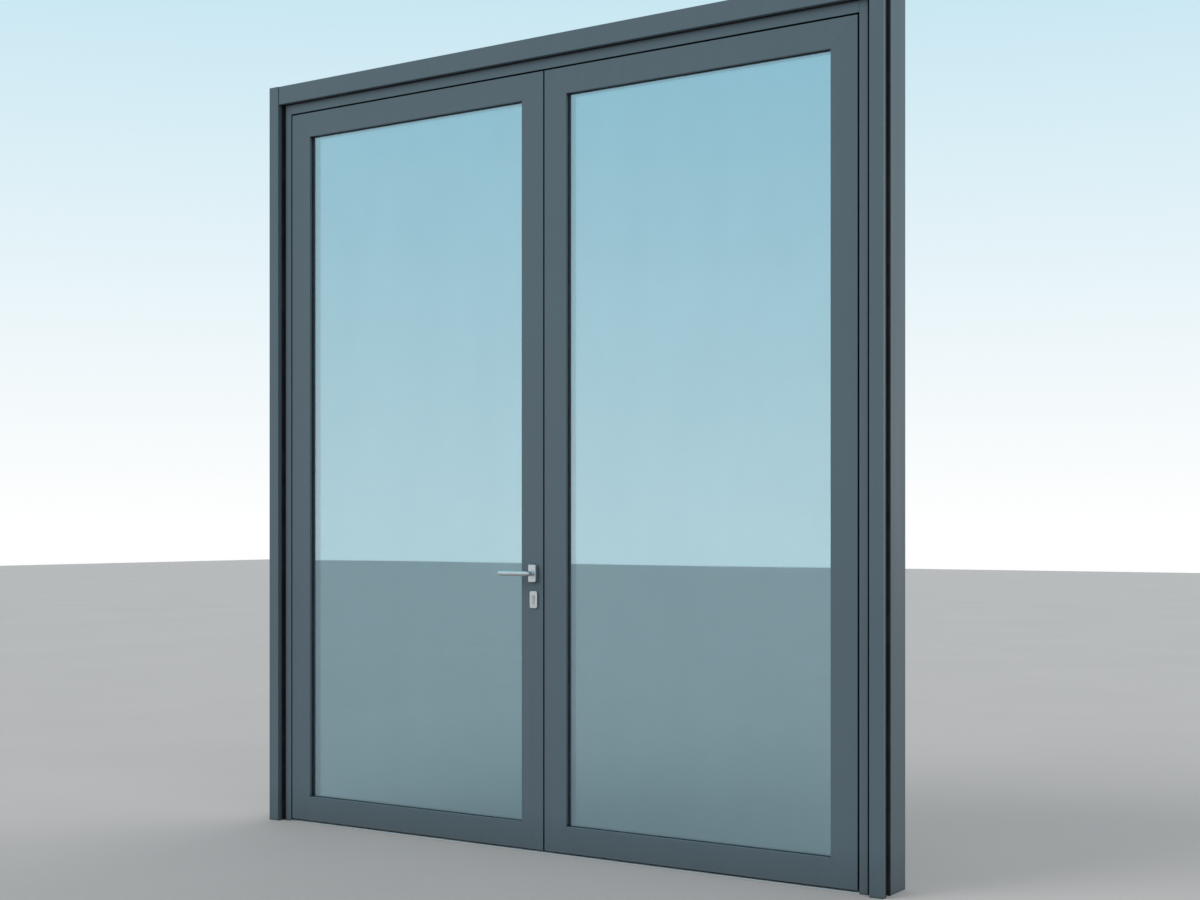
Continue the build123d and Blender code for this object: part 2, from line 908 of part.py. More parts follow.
with BuildPart() as lever_inside:
    lever(1)
keep(lever_inside, "lever_inside")

half_spindle = spindle_width / 2
with BuildPart() as spindle:
    block(
        (lock_x - half_spindle, lock_x + half_spindle),
        (front - spindle_grip + spindle_end_gap, back + spindle_grip - spindle_end_gap),
        (lever_height - half_spindle, lever_height + half_spindle),
    )
keep(spindle, "spindle")

follower_back_y = case_back_y - case_wall - spindle_clearance
with BuildPart() as follower:
    with BuildSketch(front_plane(follower_back_y)):
        with Locations((lock_x, lever_height)):
            RegularPolygon(follower_r, follower_sides)
            Rectangle(spindle_hole, spindle_hole, mode=Mode.SUBTRACT)
    extrude(amount=case_thickness - 2 * (case_wall + spindle_clearance))
keep(follower, "follower")


def plate_on_face(direction, height, mid_z, thickness, corner):
    """A plate with rounded corners on the outside or inside face of the stile."""
    face_y = front if direction < 0 else back
    plane = Plane(origin=(lock_x, face_y, mid_z), x_dir=(1, 0, 0), z_dir=(0, direction, 0))
    with BuildSketch(plane) as outline:
        RectangleRounded(rose_width, height, corner)
    extrude(outline.sketch, amount=thickness)


roses = []
escutcheons = []
for direction in (-1, 1):
    with BuildPart() as rose:
        plate_on_face(direction, rose_height, lever_height, rose_thickness, rose_corner)
        with BuildSketch(Plane.XZ):
            with Locations((lock_x, lever_height)):
                Circle(lever_r + neck_clearance)
        extrude(amount=reach, both=True, mode=Mode.SUBTRACT)
    roses.append(rose.part)
    with BuildPart() as escutcheon:
        plate_on_face(
            direction,
            escutcheon_height,
            cylinder_z - escutcheon_drop,
            escutcheon_thickness,
            escutcheon_corner,
        )
        with BuildSketch(Plane.XZ):
            cylinder_outline(cylinder_clearance)
        extrude(amount=reach, both=True, mode=Mode.SUBTRACT)
    escutcheons.append(escutcheon.part)

with BuildPart() as handle_roses:
    add(roses)
keep(handle_roses, "handle_roses")

with BuildPart() as cylinder_escutcheons:
    add(escutcheons)
keep(cylinder_escutcheons, "cylinder_escutcheons")

# Lock cylinder
cylinder_end = back + escutcheon_thickness + cylinder_proud
with BuildPart() as cylinder_body:
    with BuildSketch(Plane.XZ):
        cylinder_outline(0)
        with Locations((lock_x, cylinder_z)):
            Circle(plug_r + plug_clearance, mode=Mode.SUBTRACT)
    extrude(amount=cylinder_end, both=True)
    block(
        (lock_x - cam_sweep_r, lock_x + cam_sweep_r),
        (middle_y - cam_gap / 2, middle_y + cam_gap / 2),
        (cylinder_z - cam_sweep_r - cam_clearance, cylinder_z + cam_sweep_r),
        mode=Mode.SUBTRACT,
    )
keep(cylinder_body, "cylinder_body")

with BuildPart() as cylinder_plug:
    with BuildSketch(Plane.XZ):
        with Locations((lock_x, cylinder_z)):
            Circle(plug_r)
    extrude(amount=cylinder_end, both=True)
    with BuildSketch(front_plane(middle_y + cam_thickness / 2)):
        with Locations((lock_x, cylinder_z - cam_length / 2)):
            Rectangle(cam_width, cam_length)
    extrude(amount=cam_thickness)
    for end_y in (-cylinder_end, cylinder_end):
        block(
            (lock_x - key_slot_width / 2, lock_x + key_slot_width / 2),
            (end_y - key_slot_depth, end_y + key_slot_depth),
            (cylinder_z - key_slot_height / 2, cylinder_z + key_slot_height / 2),
            mode=Mode.SUBTRACT,
        )
keep(cylinder_plug, "cylinder_plug")

# Lock
case_near_x = -(meeting_x + face_plate)
case_far_x = case_near_x - case_depth
with BuildPart() as lock_case:
    block((case_near_x, case_far_x), (case_front_y, case_back_y), (case_bottom, case_top))
    block(
        (case_near_x - case_wall, case_far_x + case_wall),
        (case_front_y + case_wall, case_back_y - case_wall),
        (case_bottom + case_wall, case_top - case_wall),
        mode=Mode.SUBTRACT,
    )
    with BuildSketch(Plane.XZ):
        with Locations((lock_x, lever_height)):
            Rectangle(spindle_window, spindle_window)
        cylinder_window(cylinder_clearance)
    extrude(amount=reach, both=True, mode=Mode.SUBTRACT)
    for bolt_z, bolt_height in ((dead_bolt_z, dead_bolt_height), (latch_z, latch_height)):
        half = bolt_height / 2 + bolt_clearance
        block(
            (case_near_x, case_near_x - case_wall),
            (middle_y - bolt_thickness / 2 - bolt_clearance, middle_y + bolt_thickness / 2 + bolt_clearance),
            (bolt_z - half, bolt_z + half),
            mode=Mode.SUBTRACT,
        )
keep(lock_case, "lock_case")


bolt_window = bolt_thickness + 2 * bolt_clearance


def edge_plate(side, length, mid_z, openings):
    """A steel plate let into a meeting edge, with its openings as (Z, height)."""
    low_x = min(side * meeting_x, side * (meeting_x + face_plate))
    with BuildSketch(Plane.YZ.offset(low_x)) as plate:
        with Locations((middle_y, mid_z)):
            Rectangle(break_depth, length)
        for opening_z, height in openings:
            with Locations((middle_y, opening_z)):
                Rectangle(bolt_window, height + 2 * bolt_clearance, mode=Mode.SUBTRACT)
    extrude(plate.sketch, amount=face_plate)


bolt_openings = ((dead_bolt_z, dead_bolt_height), (latch_z, latch_height))

with BuildPart() as lock_faceplate:
    edge_plate(LEFT, face_plate_length, plate_mid_z, bolt_openings)
keep(lock_faceplate, "lock_faceplate")

with BuildPart() as strike_plate:
    edge_plate(RIGHT, face_plate_length, plate_mid_z, bolt_openings)
keep(strike_plate, "strike_plate")

bolt_front_y = middle_y - bolt_thickness / 2
bolt_back_y = middle_y + bolt_thickness / 2
bolt_tip_x = -(meeting_x + bolt_setback)
with BuildPart() as dead_bolt:
    block(
        (bolt_tip_x, bolt_tip_x - dead_bolt_length),
        (bolt_front_y, bolt_back_y),
        (dead_bolt_z - dead_bolt_height / 2, dead_bolt_z + dead_bolt_height / 2),
    )
keep(dead_bolt, "dead_bolt")

with BuildPart() as latch_bolt:
    with BuildSketch(Plane.XY.offset(latch_z - latch_height / 2)):
        Polygon(
            (bolt_tip_x, bolt_front_y),
            (bolt_tip_x, bolt_back_y - latch_bevel),
            (bolt_tip_x - latch_bevel, bolt_back_y),
            (bolt_tip_x - latch_length, bolt_back_y),
            (bolt_tip_x - latch_length, bolt_front_y),
        )
    extrude(amount=latch_height)
keep(latch_bolt, "latch_bolt")


# Flush bolts
def flush_bolt(tip_z, direction, thumb_z, travel):
    """A rod that slides out of the leaf's end, with the carriage and thumb piece that move it."""
    with BuildSketch(Plane(origin=(rod_x, middle_y, tip_z), z_dir=(0, 0, -direction))) as rod:
        Circle(rod_r)
    extrude(rod.sketch, amount=rod_length)
    block(
        (rod_x - carriage_width / 2, rod_x + carriage_width / 2),
        (middle_y - carriage_width / 2, middle_y + carriage_width / 2),
        (thumb_z - carriage_height / 2, thumb_z + carriage_height / 2),
    )
    block(
        (meeting_x + bolt_setback, rod_x),
        (middle_y - thumb_width / 2, middle_y + thumb_width / 2),
        (thumb_z - thumb_height / 2, thumb_z + thumb_height / 2),
    )


with BuildPart() as flush_bolt_top:
    flush_bolt(leaf_top - rod_setback, 1, thumb_top_z, flush_throw)
keep(flush_bolt_top, "flush_bolt_top")

with BuildPart() as flush_bolt_bottom:
    flush_bolt(leaf_bottom + rod_setback, -1, thumb_bottom_z, bottom_throw)
keep(flush_bolt_bottom, "flush_bolt_bottom")

with BuildPart() as flush_bolt_plates:
    slot_height = thumb_height + flush_throw
    edge_plate(RIGHT, flush_plate_length, top_plate_mid, ((top_plate_mid, slot_height),))
    edge_plate(RIGHT, flush_plate_length, bottom_plate_mid, ((bottom_plate_mid, slot_height),))
keep(flush_bolt_plates, "flush_bolt_plates")
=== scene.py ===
"""Finishes a two-leaf glass entrance door: profiles, glass, seals, hinges, lock and levers."""

import json
import math

import bpy
from mathutils import Matrix, Vector


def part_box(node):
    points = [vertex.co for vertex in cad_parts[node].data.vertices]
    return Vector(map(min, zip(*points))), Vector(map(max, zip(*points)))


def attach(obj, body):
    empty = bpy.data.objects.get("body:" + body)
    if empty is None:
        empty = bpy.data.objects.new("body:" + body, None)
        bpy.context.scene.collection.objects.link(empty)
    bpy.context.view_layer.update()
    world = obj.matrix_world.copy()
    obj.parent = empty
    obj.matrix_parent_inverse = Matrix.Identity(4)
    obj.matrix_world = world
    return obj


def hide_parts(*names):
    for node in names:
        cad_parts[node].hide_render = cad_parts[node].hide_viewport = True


bl_info = {
    "name": "Glass entrance door",
    "version": (1, 0, 0),
    "blender": (4, 5, 0),
    "location": "View3D > Sidebar > Door",
    "description": "Finishes the leaves, frame, glass, seals and hardware of a glass entrance door",
    "category": "Object",
}

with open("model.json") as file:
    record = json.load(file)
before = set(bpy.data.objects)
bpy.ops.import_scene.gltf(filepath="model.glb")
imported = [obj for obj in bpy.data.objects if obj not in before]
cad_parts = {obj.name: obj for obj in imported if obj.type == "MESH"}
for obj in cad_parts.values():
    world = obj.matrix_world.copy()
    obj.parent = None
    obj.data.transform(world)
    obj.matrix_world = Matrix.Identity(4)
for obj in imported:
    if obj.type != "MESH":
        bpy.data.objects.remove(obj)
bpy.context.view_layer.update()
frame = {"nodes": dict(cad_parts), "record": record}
BODIES = frame["record"]["behaviour"]["bodies"]
BODY_OF = {node: body for body, nodes in BODIES.items() for node in nodes}
SLOT_OF = {part["node"]: part["material_slot"] for part in frame["record"]["subparts"]}

FINISHES = {}  # the materials by slot, which the first operator mixes

MM = 0.001
X, Y, Z = range(3)

# Sizes that follow the fixed frame
HINGE_PLATE_THICKNESS = 6.0 * MM
HINGE_SPACING = 300.0 * MM  # heights further apart than this belong to different hinges
FLUSH_PLATE_LENGTH = 160.0 * MM
BOLT_CARRIAGE_HALF = 6.0 * MM  # from the bottom bolt's rod to the side of its carriage
ROD_GAP_HALF = 4.75 * MM  # half of the gap that the brush leaves for that rod

# Where the screws sit: columns and insets from their plate's edge, rows from the hinge's middle
LEAF_SCREW_COLUMNS = (12.0 * MM, 38.0 * MM)
FRAME_SCREW_COLUMN = 9.5 * MM
HINGE_SCREW_ROWS = (-62.0 * MM, -21.0 * MM, 21.0 * MM, 62.0 * MM)
EDGE_SCREW_INSET = 11.0 * MM

# The proportions of a screw head
HEAD_HEIGHT = 0.3  # of its radius
HEAD_RIM = 0.55  # of its height
HEAD_SOCKET = 0.5  # of its radius
EDGE_SCREW_RADIUS = 0.45  # of the hinge screws' diameter

# Edges that follow others, or that only one small piece has
ESCUTCHEON_EDGE = 0.7  # of the rose's edge
STOP_LIP = 2.0  # of the other gaskets' edge
CYLINDER_EDGE = 0.4 * MM
PLUG_EDGE = 0.3 * MM
HOLDER_EDGE = 0.8 * MM

# The tufts of the brushes, and how far their rows lie from the middle
TUFT_FOOT, TUFT_TIP = 0.62 * MM, 0.36 * MM
TUFT_ROWS = (-1.6 * MM, 0.0, 1.6 * MM)

# How finely round pieces are divided
LEVER_SIDES, BEND_STEPS, TIP_STEPS = 72, 18, 4
SCREW_SIDES, SOCKET_SIDES, TUFT_SIDES = 28, 6, 5

MERGE_DISTANCE = 0.01 * MM
FLAT_ANGLE = math.radians(0.5)
AXIS_ALONG_Y = (math.pi / 2, 0, 0)

# How a screw head, made looking up, is turned to look out of its plate
FACING_X = Matrix.Rotation(math.pi / 2, 4, "Y")
FACING_MINUS_X = Matrix.Rotation(-math.pi / 2, 4, "Y")
FACING_Y = Matrix.Rotation(-math.pi / 2, 4, "X")

# The stage
FLOOR_WIDTH = 80.0
LIGHT_COLOUR, LIGHT_STRENGTH = (0.90, 0.95, 1.0, 1.0), 0.62
BACKDROP_LOW, BACKDROP_HIGH = (1.0, 1.0, 1.0), (0.58, 0.80, 0.89)
BACKDROP_RISE = 0.30  # the sine of the elevation where the backdrop reaches its upper colour
LAMPS = (  # name, direction towards the lamp, strength, apparent width in degrees
    ("key", (-0.55, -0.65, 0.52), 1.35, 38.0),
    ("fill", (0.68, -0.52, 0.50), 0.45, 60.0),
    ("behind", (0.25, 0.80, 0.54), 0.85, 60.0),
)
CAMERA_PLACE = (3.617, -5.234, 1.240)
CAMERA_TURN = 32.9
CAMERA_LENS, CAMERA_SENSOR, CAMERA_SHIFT = 50.2, 36.0, 0.063
CAMERA_REACH = 200.0


class DoorColours(bpy.types.PropertyGroup):
    """The finishes of the door."""

    coat: bpy.props.FloatVectorProperty(
        name="Powder coat",
        description="Colour of the coated aluminium",
        subtype="COLOR",
        min=0.0,
        max=1.0,
        default=(0.078, 0.117, 0.141),
    )
    coated_glass: bpy.props.FloatVectorProperty(
        name="Coated glass",
        description="Colour that the outer pane mirrors and lets through",
        subtype="COLOR",
        min=0.0,
        max=1.0,
        default=(0.54, 0.73, 0.80),
    )
    clear_glass: bpy.props.FloatVectorProperty(
        name="Clear glass",
        description="Colour of the inner pane",
        subtype="COLOR",
        min=0.0,
        max=1.0,
        default=(0.72, 0.84, 0.82),
    )
    steel: bpy.props.FloatVectorProperty(
        name="Satin steel",
        description="Colour of the handle, the plates and the pins",
        subtype="COLOR",
        min=0.0,
        max=1.0,
        default=(0.70, 0.73, 0.74),
    )
    rubber: bpy.props.FloatVectorProperty(
        name="Rubber",
        description="Colour of the gaskets",
        subtype="COLOR",
        min=0.0,
        max=1.0,
        default=(0.012, 0.013, 0.014),
    )
    floor: bpy.props.FloatVectorProperty(
        name="Floor",
        description="Colour of the plain floor under the door",
        subtype="COLOR",
        min=0.0,
        max=1.0,
        default=(0.46, 0.447, 0.437),
    )


class DoorSizes(bpy.types.PropertyGroup):
    """The small sizes that only the finish needs."""

    profile_edge: bpy.props.FloatProperty(
        name="Profile edge",
        description="Radius of the edges of the coated profiles",
        subtype="DISTANCE",
        default=0.5 * MM,
    )
    hardware_edge: bpy.props.FloatProperty(
        name="Hardware edge",
        description="Radius of the edges of the hinges",
        subtype="DISTANCE",
        default=0.8 * MM,
    )
    bolt_edge: bpy.props.FloatProperty(
        name="Bolt edge",
        description="Radius of the edges of the bolts, the lock case and the clamping strips",
        subtype="DISTANCE",
        default=0.5 * MM,
    )
    thin_plate_edge: bpy.props.FloatProperty(
        name="Thin plate edge",
        description="Radius of the edges of the plates on the meeting edges",
        subtype="DISTANCE",
        default=0.4 * MM,
    )
    rib_edge: bpy.props.FloatProperty(
        name="Rib edge",
        description="Radius of the edges of the threshold's ribs",
        subtype="DISTANCE",
        default=0.35 * MM,
    )
    plate_edge: bpy.props.FloatProperty(
        name="Plate edge",
        description="Radius of the front edges of the handle plates",
        subtype="DISTANCE",
        default=1.6 * MM,
    )
    lever_tip: bpy.props.FloatProperty(
        name="Lever tip",
        description="Radius of the edge at the end of the lever",
        subtype="DISTANCE",
        default=1.0 * MM,
    )
    lever_bend: bpy.props.FloatProperty(
        name="Lever bend",
        description="Radius of the middle line of the lever's bend",
        subtype="DISTANCE",
        default=18.0 * MM,
    )
    screw_head: bpy.props.FloatProperty(
        name="Screw head",
        description="Diameter of the hinge screws' heads",
        subtype="DISTANCE",
        default=8.0 * MM,
    )
    bristle_pitch: bpy.props.FloatProperty(
        name="Bristle pitch",
        description="Distance between the tufts of the brush strips",
        subtype="DISTANCE",
        default=2.5 * MM,
    )
    brush_holder: bpy.props.FloatProperty(
        name="Brush holder",
        description="Height of the holder that the tufts stand in",
        subtype="DISTANCE",
        default=6.0 * MM,
    )
    rubber_edge: bpy.props.FloatProperty(
        name="Rubber edge",
        description="Radius of the lips of the gaskets",
        subtype="DISTANCE",
        default=0.9 * MM,
    )


# Working on meshes
def only(piece):
    """Make one object the only selected one, and the active one."""
    bpy.ops.object.select_all(action="DESELECT")
    piece.select_set(True)
    bpy.context.view_layer.objects.active = piece


def settled(name):
    """The primitive just added, under its name and with its place, turn and scale in its mesh."""
    piece = bpy.context.active_object
    piece.name = name
    only(piece)
    bpy.ops.object.transform_apply(location=True, rotation=True, scale=True)
    return piece


def edit(piece, action="DESELECT"):
    """Open a piece in edit mode on its edges, with none or all of it selected."""
    only(piece)
    bpy.ops.object.mode_set(mode="EDIT")
    bpy.ops.mesh.select_mode(type="EDGE")
    bpy.ops.mesh.select_all(action=action)


def pick_edges(piece, wanted, among_selected=False):
    """Select the edges for which wanted(end, other end) holds, and return to edit mode."""
    bpy.ops.object.mode_set(mode="OBJECT")
    points = piece.data.vertices
    for edge in piece.data.edges:
        start, end = (points[index].co for index in edge.vertices)
        edge.select = wanted(start, end) and (edge.select or not among_selected)
    bpy.ops.object.mode_set(mode="EDIT")


def on_planes(axis, *levels, slack=0.02 * MM):
    """A test for edges that lie in one of the planes across an axis."""

    def test(start, end):
        for level in levels:
            if abs(start[axis] - level) < slack and abs(end[axis] - level) < slack:
                return True
        return False

    return test


def smooth(piece, angle=35.0):
    """Shade the rounded edges smooth and keep the broad faces flat."""
    only(piece)
    bpy.ops.object.shade_smooth_by_angle(angle=math.radians(angle))
    weighted = piece.modifiers.new("weighted", "WEIGHTED_NORMAL")
    weighted.keep_sharp = True
    bpy.ops.object.modifier_apply(modifier=weighted.name)


def cut(piece, cutter):
    """Take a cutter out of a piece, and delete the cutter."""
    only(piece)
    boolean = piece.modifiers.new("cut", "BOOLEAN")
    boolean.operation = "DIFFERENCE"
    boolean.solver = "EXACT"
    boolean.object = cutter
    bpy.ops.object.modifier_apply(modifier=boolean.name)
    bpy.data.objects.remove(cutter)


def join(pieces, name):
    """Join pieces into one object of that name."""
    only(pieces[0])
    for piece in pieces:
        piece.select_set(True)
    bpy.ops.object.join()
    pieces[0].name = name
    return pieces[0]


def add_block(name, low, high):
    """A block between two corners."""
    low, high = Vector(low), Vector(high)
    bpy.ops.object.select_all(action="DESELECT")
    bpy.ops.mesh.primitive_cube_add(size=1, location=(low + high) / 2, scale=high - low)
    return settled(name)


def add_rod(name, radius, length, sides, middle_z=0.0):
    """An upright round rod on the Z axis."""
    bpy.ops.object.select_all(action="DESELECT")
    bpy.ops.mesh.primitive_cylinder_add(
        vertices=sides, radius=radius, depth=length, location=(0, 0, middle_z)
    )
    return settled(name)


def copied(piece, name, matrix):
    """A copy with its own mesh, moved by a matrix."""
    mesh = piece.data.copy()
    mesh.transform(matrix)
    duplicate = bpy.data.objects.new(name, mesh)
    bpy.context.scene.collection.objects.link(duplicate)
    return duplicate


def merged_copy(node, name):
    """A copy of a fixed node as a clean mesh, with whole faces in place of loose triangles."""
    piece = copied(frame["nodes"][node], name, Matrix())
    piece.data.materials.clear()
    only(piece)
    bpy.ops.mesh.customdata_custom_splitnormals_clear()
    edit(piece, "SELECT")
    bpy.ops.mesh.remove_doubles(threshold=MERGE_DISTANCE)
    bpy.ops.mesh.dissolve_limited(angle_limit=FLAT_ANGLE)
    bpy.ops.object.mode_set(mode="OBJECT")
    return piece


def soften(piece, radius, segments=2, sharpness=40.0, wanted=None):
    """Round the sharp edges of a piece, or only the wanted ones."""
    edit(piece)
    bpy.ops.mesh.edges_select_sharp(sharpness=math.radians(sharpness))
    if wanted is not None:
        pick_edges(piece, wanted, among_selected=True)
    bpy.ops.mesh.bevel(offset=radius, segments=segments, clamp_overlap=True, loop_slide=False)
    bpy.ops.object.mode_set(mode="OBJECT")


# Handing pieces over to the frame
def dress(piece, material):
    """Give a piece its only material."""
    piece.data.materials.clear()
    piece.data.materials.append(material)


def stand_for(piece, material, node):
    """Let a finished piece stand for a fixed node: give it a material, put it on the node's body
    and hide the node.
    """
    dress(piece, material)
    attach(piece, BODY_OF[node])
    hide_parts(node)


def carry_over(material, node):
    """Give a fixed node a material and keep its shape."""
    for slot in frame["nodes"][node].material_slots:
        slot.material = material


def rounded_copy(node, radius, material=None, ending="finished", **how):
    """Let a copy with rounded edges stand for a node, in its slot's finish if none is given."""
    piece = merged_copy(node, f"{node}_{ending}")
    soften(piece, radius, **how)
    smooth(piece)
    stand_for(piece, material or FINISHES[SLOT_OF[node]], node)


# Materials
def blank(name, **values):
    """A new material with even values: (material, node tree, shader, object coordinates)."""
    material = bpy.data.materials.new(name)
    material.use_nodes = True
    tree = material.node_tree
    shader = tree.nodes["Principled BSDF"]
    for key, value in values.items():
        shader.inputs[key.replace("_", " ")].default_value = value
    coordinates = tree.nodes.new("ShaderNodeTexCoord").outputs["Object"]
    return material, tree, shader, coordinates


def stretched(tree, vector, scale):
    """Coordinates scaled along each axis."""
    mapping = tree.nodes.new("ShaderNodeMapping")
    mapping.inputs["Scale"].default_value = scale
    tree.links.new(vector, mapping.inputs["Vector"])
    return mapping.outputs["Vector"]


def split(tree, vector):
    """The X, Y and Z of a vector, by name."""
    node = tree.nodes.new("ShaderNodeSeparateXYZ")
    tree.links.new(vector, node.inputs["Vector"])
    return node.outputs


def noise(tree, vector, scale, detail=2.0, roughness=0.5):
    """A noise pattern, from 0 to 1."""
    node = tree.nodes.new("ShaderNodeTexNoise")
    node.inputs["Scale"].default_value = scale
    node.inputs["Detail"].default_value = detail
    node.inputs["Roughness"].default_value = roughness
    tree.links.new(vector, node.inputs["Vector"])
    return node.outputs["Fac"]


def spread(tree, value, span, new_span=(0.0, 1.0)):
    """Map one range of a value to another."""
    node = tree.nodes.new("ShaderNodeMapRange")
    for key, number in zip(("From Min", "From Max", "To Min", "To Max"), (*span, *new_span)):
        node.inputs[key].default_value = number
    tree.links.new(value, node.inputs["Value"])
    return node.outputs["Result"]


def calculate(tree, operation, first, second=0.0):
    """A math node on two values or links."""
    node = tree.nodes.new("ShaderNodeMath")
    node.operation = operation
    for index, value in enumerate((first, second)):
        if isinstance(value, bpy.types.NodeSocket):
            tree.links.new(value, node.inputs[index])
        else:
            node.inputs[index].default_value = value
    return node.outputs["Value"]


def blend_colours(tree, factor, first, second):
    """A mix of two colours or links."""
    node = tree.nodes.new("ShaderNodeMix")
    node.data_type = "RGBA"
    tree.links.new(factor, node.inputs["Factor"])
    colours = [socket for socket in node.inputs if socket.type == "RGBA"]
    for socket, value in zip(colours, (first, second)):
        if isinstance(value, bpy.types.NodeSocket):
            tree.links.new(value, socket)
        else:
            socket.default_value = (*value, 1.0)
    return next(socket for socket in node.outputs if socket.type == "RGBA")


def shade(colour, factor):
    """A colour made lighter or darker."""
    return tuple(min(1.0, channel * factor) for channel in colour)


def mottled(tree, pattern, span, colour, darker, lighter):
    """A colour that a pattern makes a little darker or lighter."""
    factor = spread(tree, pattern, span)
    return blend_colours(tree, factor, shade(colour, darker), shade(colour, lighter))


def raise_surface(tree, shader, height, distance, strength):
    """Drive the shader's normal from a height."""
    bump = tree.nodes.new("ShaderNodeBump")
    bump.inputs["Strength"].default_value = strength
    bump.inputs["Distance"].default_value = distance
    tree.links.new(height, bump.inputs["Height"])
    tree.links.new(bump.outputs["Normal"], shader.inputs["Normal"])


def painted_joint_shade(tree, reach, darkest):
    """Painted shade: 1 on open faces, falling to the darkest value deep in narrow joints and
    recesses.
    """
    node = tree.nodes.new("ShaderNodeAmbientOcclusion")
    node.samples = 8
    node.inputs["Distance"].default_value = reach
    return spread(tree, node.outputs["AO"], (0.25, 0.75), (darkest, 1.0))


def darken(tree, colour, factor):
    """A linked colour times a linked factor."""
    node = tree.nodes.new("ShaderNodeVectorMath")
    node.operation = "SCALE"
    tree.links.new(colour, node.inputs["Vector"])
    tree.links.new(factor, node.inputs["Scale"])
    return node.outputs["Vector"]


def powder_coat(name, colour):
    """Satin coat: orange-peel skin, faint rain runs, a darker foot and painted shade deep in the
    joints.
    """
    material, tree, shader, where = blank(name, Specular_IOR_Level=0.5)
    skin = noise(tree, where, scale=1100.0)
    raise_surface(tree, shader, skin, distance=0.06 * MM, strength=0.5)
    runs = noise(tree, stretched(tree, where, (26.0, 26.0, 0.6)), scale=1.0)
    patches = noise(tree, where, scale=1.7, detail=3.0)
    coat = mottled(tree, calculate(tree, "ADD", runs, patches), (0.7, 1.3), colour, 0.96, 1.04)
    height = split(tree, where)["Z"]
    low_down = spread(tree, height, (0.0, 0.08), (0.05, 0.0))
    foot = spread(tree, height, (0.02, 0.16), (0.78, 1.0))
    specks = spread(tree, noise(tree, where, scale=120.0, detail=5.0, roughness=0.7), (0.35, 0.75))
    dust = calculate(tree, "MULTIPLY", low_down, specks)
    dusty = blend_colours(tree, dust, coat, (0.33, 0.31, 0.28))
    # The colour gets darker towards the bottom, and painted shade darkens the joints and recesses.
    low_darkening_and_painted_joint_shade = calculate(tree, "MULTIPLY", foot, painted_joint_shade(tree, reach=20.0 * MM, darkest=0.05))
    tree.links.new(darken(tree, dusty, low_darkening_and_painted_joint_shade), shader.inputs["Base Color"])
    gloss = calculate(tree, "ADD", spread(tree, runs, (0.3, 0.7), (0.36, 0.44)), dust)
    tree.links.new(gloss, shader.inputs["Roughness"])
    return material


def dust_glass(tree, shader, film, colour):
    """Let a faint film of dust vary the tint and the gloss of a pane."""
    tint = mottled(tree, film, (0.3, 0.7), colour, 0.985, 1.015)
    tree.links.new(tint, shader.inputs["Base Color"])
    gloss = spread(tree, film, (0.35, 0.75), (0.004, 0.022))
    tree.links.new(gloss, shader.inputs["Roughness"])


def mirror_glass(name, colour):
    """Solar control glass: half mirror, half clear, with the slight waves of toughened panes."""
    material, tree, shader, where = blank(
        name, Metallic=0.5, Transmission_Weight=1.0, IOR=1.5, Specular_IOR_Level=0.5
    )
    long_clouds = stretched(tree, where, (2.0, 2.0, 0.6))
    film = noise(tree, long_clouds, scale=2.2, detail=5.0, roughness=0.6)
    dust_glass(tree, shader, film, colour)
    waves = noise(tree, stretched(tree, where, (0.6, 1.0, 3.2)), scale=1.0, detail=1.0)
    raise_surface(tree, shader, waves, distance=0.4 * MM, strength=0.3)
    return material


def plain_glass(name, colour):
    """Clear float glass."""
    material, tree, shader, where = blank(name, Transmission_Weight=1.0, IOR=1.5)
    film = noise(tree, where, scale=3.1, detail=5.0, roughness=0.6)
    dust_glass(tree, shader, film, colour)
    return material


def brushed_metal(name, colour, grain, gloss):
    """Metal with fine scratches along the axis with the least grain, and a faint cloud of tone."""
    material, tree, shader, where = blank(name, Metallic=1.0)
    scratches = noise(tree, stretched(tree, where, grain), scale=1.0, detail=4.0, roughness=0.65)
    cloud = noise(tree, where, scale=24.0, detail=3.0)
    tone = calculate(tree, "MULTIPLY", calculate(tree, "ADD", scratches, cloud), 0.5)
    tint = mottled(tree, tone, (0.35, 0.65), colour, 0.93, 1.05)
    tree.links.new(tint, shader.inputs["Base Color"])
    tree.links.new(spread(tree, scratches, (0.3, 0.7), gloss), shader.inputs["Roughness"])
    raise_surface(tree, shader, scratches, distance=0.02 * MM, strength=0.4)
    return material


def soft_black(name, colour, scale, gloss, depth):
    """Rubber or plastic: nearly black, with a grained and slightly dusty surface."""
    material, tree, shader, where = blank(name, Specular_IOR_Level=0.4)
    grain = noise(tree, where, scale, detail=3.0)
    dust = noise(tree, where, scale=9.0, detail=5.0, roughness=0.7)
    dusty = spread(tree, dust, (0.45, 0.85), (0.0, 0.35))
    tint = blend_colours(tree, dusty, colour, (0.10, 0.10, 0.095))
    tree.links.new(tint, shader.inputs["Base Color"])
    tree.links.new(spread(tree, grain, (0.3, 0.7), gloss), shader.inputs["Roughness"])
    raise_surface(tree, shader, grain, depth, strength=0.6)
    return material


def off_centre(tree, value, per_metre):
    """How far a value lies from the middle of its cell, in cells, of so many cells in a metre."""
    cell = calculate(tree, "FRACT", calculate(tree, "MULTIPLY", value, per_metre))
    return calculate(tree, "ABSOLUTE", calculate(tree, "SUBTRACT", cell, 0.5))


def spacer_metal(name, colour):
    """Dark anodised spacer bar with the rows of tiny vents that its inner faces have."""
    material, tree, shader, where = blank(name, Metallic=1.0)
    parts = split(tree, where)
    along = calculate(tree, "ADD", parts["X"], parts["Z"])
    beside = off_centre(tree, along, per_metre=250.0)
    across = off_centre(tree, parts["Y"], per_metre=125.0)
    vent = calculate(tree, "LESS_THAN", calculate(tree, "ADD", beside, across), 0.16)
    tint = blend_colours(tree, vent, colour, (0.01, 0.01, 0.01))
    tree.links.new(tint, shader.inputs["Base Color"])
    gloss = spread(tree, noise(tree, where, scale=60.0), (0.3, 0.7), (0.35, 0.5))
    tree.links.new(gloss, shader.inputs["Roughness"])
    return material


